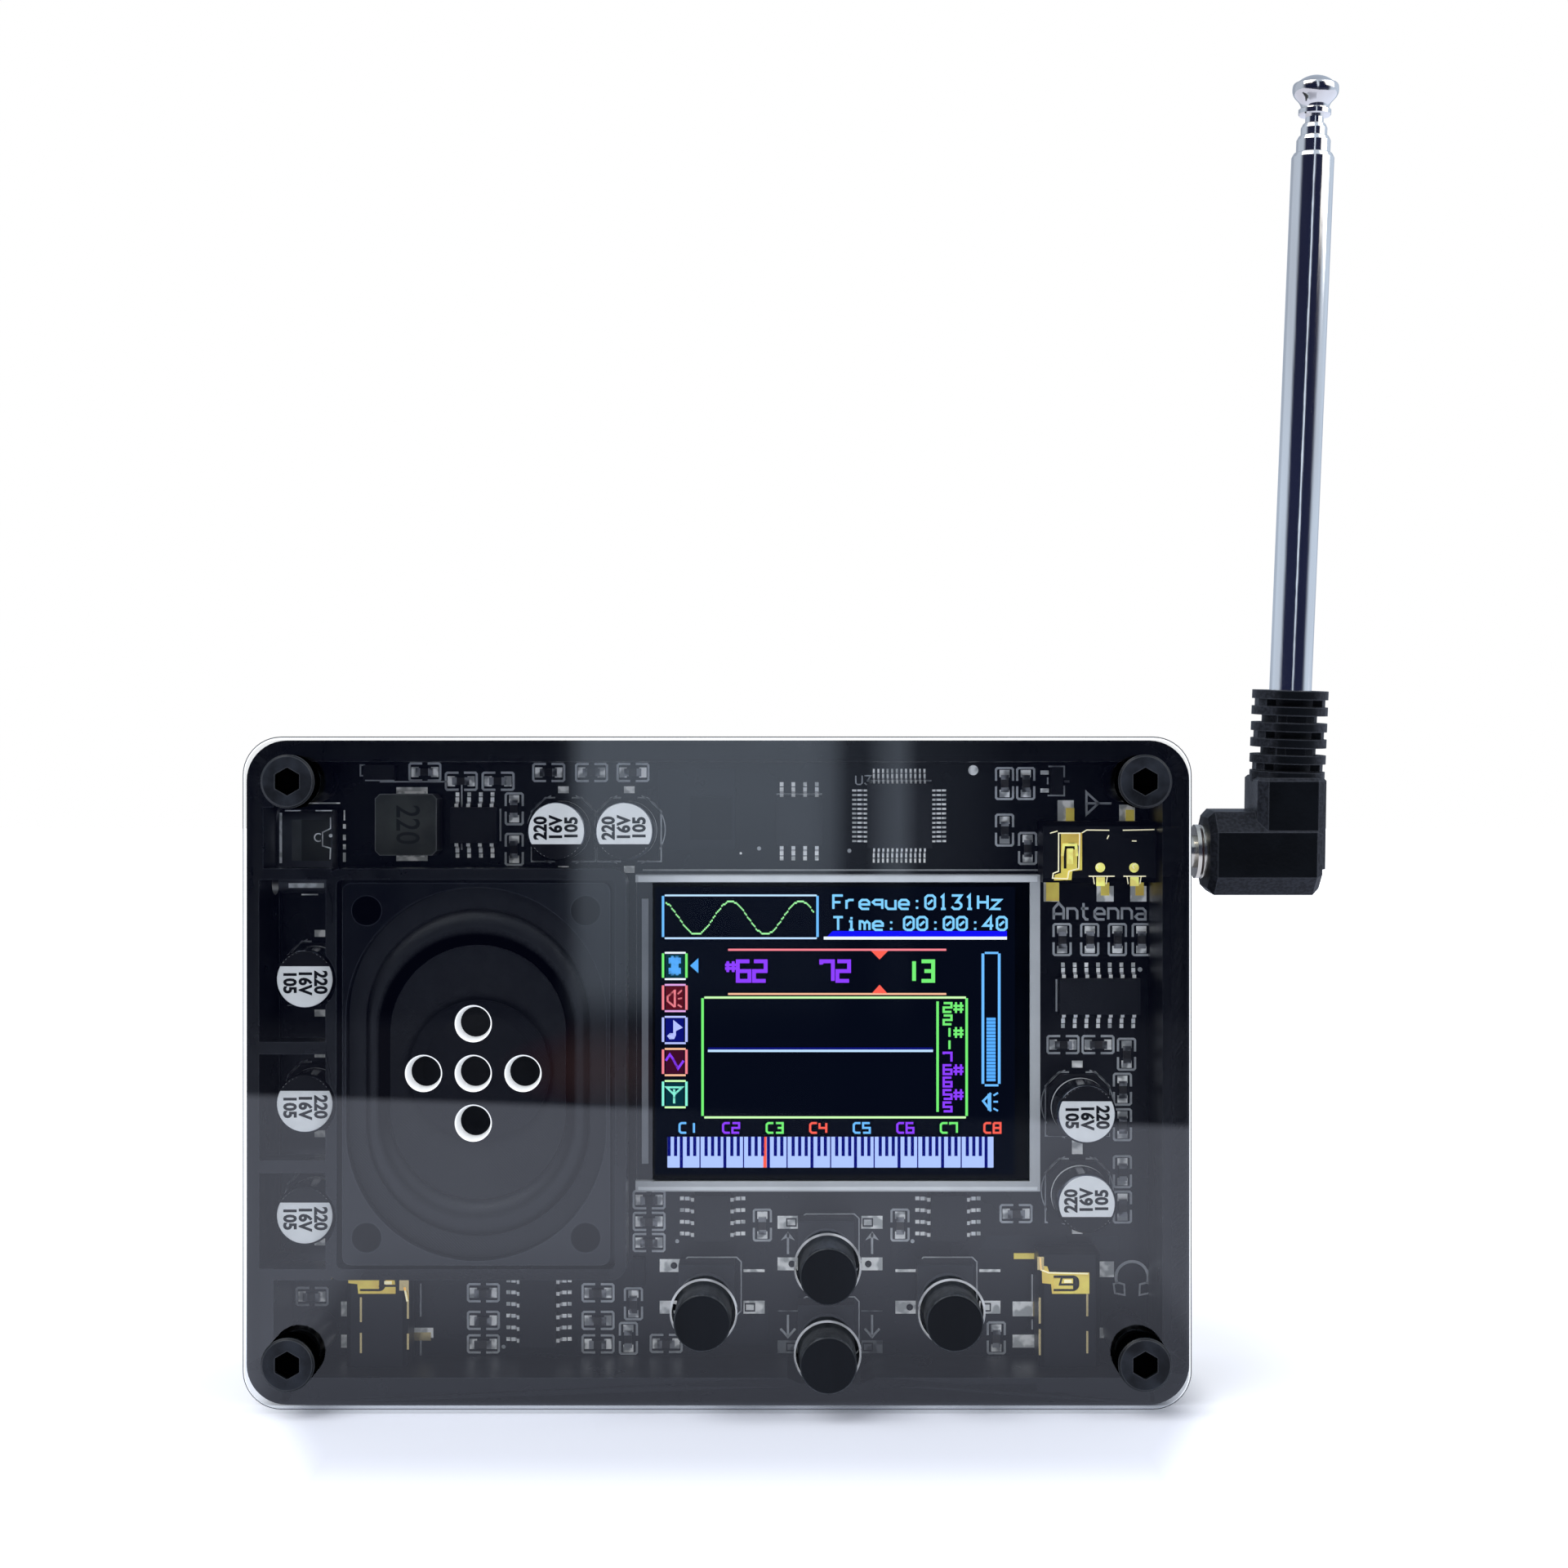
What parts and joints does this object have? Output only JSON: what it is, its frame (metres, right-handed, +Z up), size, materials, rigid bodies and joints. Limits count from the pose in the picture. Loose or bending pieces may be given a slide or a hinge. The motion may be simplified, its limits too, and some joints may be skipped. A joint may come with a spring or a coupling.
{
  "type": "theremin",
  "caption": "Pocket electronic theremin: clear-fronted black case with colour display, speaker and push buttons, and a telescopic antenna on a right-angled plug.",
  "frame": {"origin": "centre of the case's bottom face, on which it stands", "axes": "+Z up, front panel towards -Y, antenna side towards +X"},
  "size_m": [0.1145, 0.0295, 0.1394],
  "materials": {
    "clear_acrylic": "gloss",
    "case_black": "satin",
    "screw_black": "satin",
    "insert_brass": "satin",
    "board_black": "satin",
    "can_aluminium": "satin",
    "base_black": "satin",
    "inductor_grey": "matte",
    "chip_black": "matte",
    "leg_tin": "satin",
    "part_tan": "matte",
    "display_white": "satin",
    "display_glass": "gloss",
    "driver_glass": "gloss",
    "speaker_steel": "satin",
    "surround_fabric": "matte",
    "cone_paper": "matte",
    "coil_copper": "satin",
    "magnet_steel": "satin",
    "battery_foil": "satin",
    "jack_black": "satin",
    "contact_gold": "gloss",
    "usb_steel": "satin",
    "switch_black": "satin",
    "switch_steel": "satin",
    "cap_black": "satin",
    "plunger_black": "satin",
    "plug_nickel": "gloss",
    "insulator_black": "satin",
    "moulding_black": "satin",
    "antenna_chrome": "gloss"
  },
  "bodies": {
    "case": {"front_panel": "clear_acrylic", "mid_frame": "case_black", "back_cover": "case_black", "cover_screws": "screw_black", "thread_inserts": "insert_brass", "main_board": "board_black", "capacitor_cans": "can_aluminium", "capacitor_bases": "base_black", "power_inductor": "inductor_grey", "chip_packages": "chip_black", "chip_legs": "leg_tin", "chip_parts": "part_tan", "display_frame": "display_white", "display_glass": "display_glass", "display_driver": "driver_glass", "speaker_plate": "speaker_steel", "speaker_surround": "surround_fabric", "speaker_cone": "cone_paper", "speaker_dust_cap": "cone_paper", "voice_coil": "coil_copper", "speaker_magnet": "magnet_steel", "battery": "battery_foil", "antenna_jack": "jack_black", "antenna_jack_contacts": "contact_gold", "headphone_jack": "jack_black", "headphone_jack_contacts": "contact_gold", "line_jack": "jack_black", "line_jack_contacts": "contact_gold", "usb_shell": "usb_steel", "usb_tongue": "jack_black", "switch_bases": "switch_black", "switch_covers": "switch_steel", "switch_domes": "switch_steel"},
    "up_key": {"up_button": "cap_black", "up_plunger": "plunger_black"},
    "down_key": {"down_button": "cap_black", "down_plunger": "plunger_black"},
    "left_key": {"left_button": "cap_black", "left_plunger": "plunger_black"},
    "right_key": {"right_button": "cap_black", "right_plunger": "plunger_black"},
    "antenna_base": {"plug_tip": "plug_nickel", "plug_insulator": "insulator_black", "plug_sleeve": "plug_nickel", "plug_flange": "plug_nickel", "plug_moulding": "moulding_black", "antenna_tube_1": "antenna_chrome"},
    "second_section": {"antenna_tube_2": "antenna_chrome"},
    "third_section": {"antenna_tube_3": "antenna_chrome"},
    "top_section": {"antenna_rod": "antenna_chrome", "antenna_knob": "antenna_chrome"}
  },
  "joints": [
    {"name": "up_press", "type": "slide", "parent": "case", "child": "up_key", "axis": [0, 1, 0], "range_m": [0, 0.00025], "stiffness_N_per_m": 6000, "springref_m": -0.0001},
    {"name": "down_press", "type": "slide", "parent": "case", "child": "down_key", "axis": [0, 1, 0], "range_m": [0, 0.00025], "stiffness_N_per_m": 6000, "springref_m": -0.0001},
    {"name": "left_press", "type": "slide", "parent": "case", "child": "left_key", "axis": [0, 1, 0], "range_m": [0, 0.00025], "stiffness_N_per_m": 6000, "springref_m": -0.0001},
    {"name": "right_press", "type": "slide", "parent": "case", "child": "right_key", "axis": [0, 1, 0], "range_m": [0, 0.00025], "stiffness_N_per_m": 6000, "springref_m": -0.0001},
    {"name": "antenna_swivel", "type": "hinge", "parent": "case", "child": "antenna_base", "pos_m": [0.0509, -0.0028, 0.0576], "axis": [1, 0, 0], "continuous": true},
    {"name": "second_slide", "type": "slide", "parent": "antenna_base", "child": "second_section", "axis": [0.0283, -0.061, 0.9977], "range_m": [0, 0.058]},
    {"name": "third_slide", "type": "slide", "parent": "second_section", "child": "third_section", "axis": [0.0283, -0.061, 0.9977], "range_m": [0, 0.056]},
    {"name": "top_slide", "type": "slide", "parent": "third_section", "child": "top_section", "axis": [0.0283, -0.061, 0.9977], "range_m": [0, 0.055]}
  ]
}
